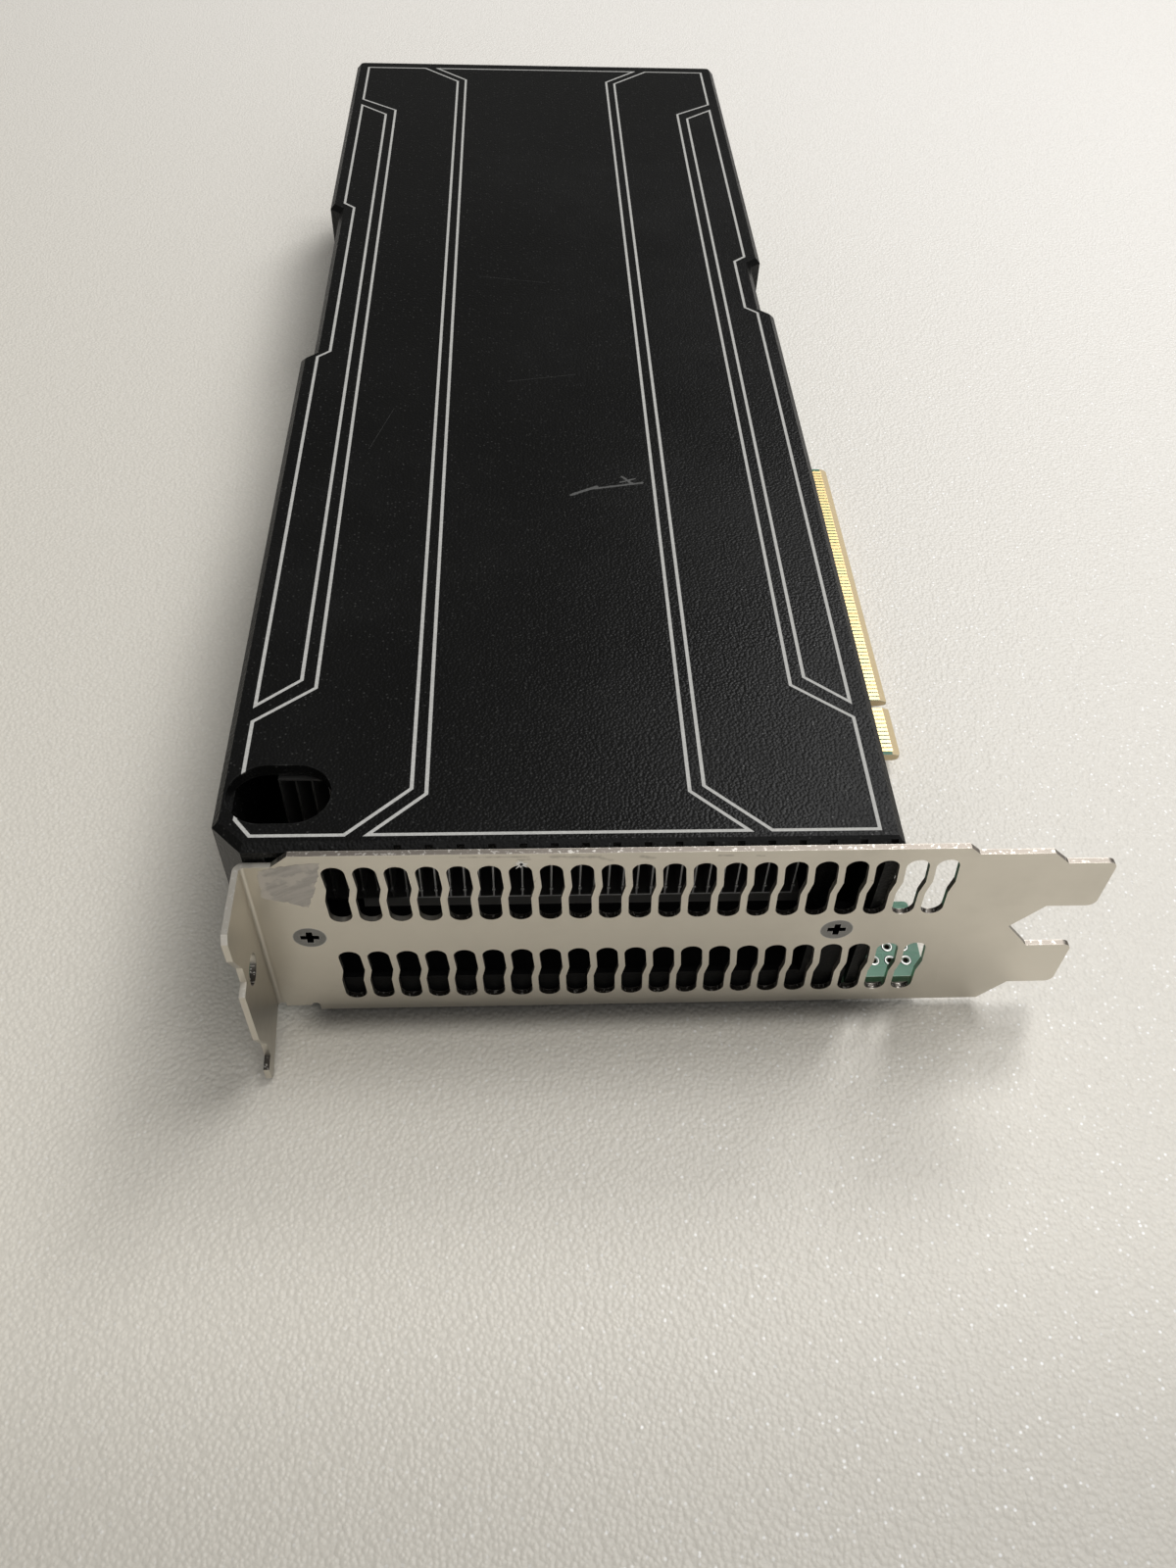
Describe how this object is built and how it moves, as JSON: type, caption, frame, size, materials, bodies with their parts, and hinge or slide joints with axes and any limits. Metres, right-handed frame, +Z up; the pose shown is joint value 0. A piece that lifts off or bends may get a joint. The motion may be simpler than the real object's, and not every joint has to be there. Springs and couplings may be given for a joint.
{
  "type": "passive accelerator card",
  "caption": "Dual-slot passive server accelerator card: black ducted cover with pinstripes, wavy-vent slot bracket, finned heat sinks, keyed edge connector.",
  "frame": {"origin": "middle of the card's footprint, at the height of the bracket flange's tip, the lowest point", "axes": "+Z up out of the cover's flat top with the board underneath, +X towards the bracket's tongues and the edge contacts, +Y from the bracket towards the air inlet"},
  "size_m": [0.1248, 0.272, 0.0403],
  "materials": {
    "board_green": "solder mask",
    "bracket_steel": "nickel plated",
    "chip_black": "moulded",
    "coil_grey": "moulded",
    "cover_black": "satin, finely grained",
    "fin_aluminium": "bare",
    "gold": "gold plated",
    "package_green": "matt",
    "pad_grey": "soft",
    "plate_black": "black anodised",
    "screw_steel": "zinc plated",
    "silicon": "polished",
    "socket_black": "moulded",
    "solder": "tinned",
    "spreader_metal": "nickel plated",
    "spring_steel": "bare",
    "stripe_silver": "matt silver paint"
  },
  "bodies": {
    "root": {"cover": "cover_black", "cover_stripes": "stripe_silver", "io_bracket": "bracket_steel", "bracket_screws": "screw_steel", "circuit_board": "board_green", "edge_contacts": "gold", "base_plate": "plate_black", "front_lip": "plate_black", "front_fin_stack": "fin_aluminium", "rear_fin_stack": "fin_aluminium", "front_heat_spreader": "spreader_metal", "rear_heat_spreader": "spreader_metal", "front_processor": "package_green", "rear_processor": "package_green", "front_die": "silicon", "rear_die": "silicon", "front_memory": "chip_black", "rear_memory": "chip_black", "front_memory_pads": "pad_grey", "rear_memory_pads": "pad_grey", "bridge_chip": "chip_black", "power_socket": "socket_black", "power_pins": "gold", "power_inductors": "coil_grey", "front_spring_plate": "spring_steel", "rear_spring_plate": "spring_steel"}
  },
  "joints": []
}
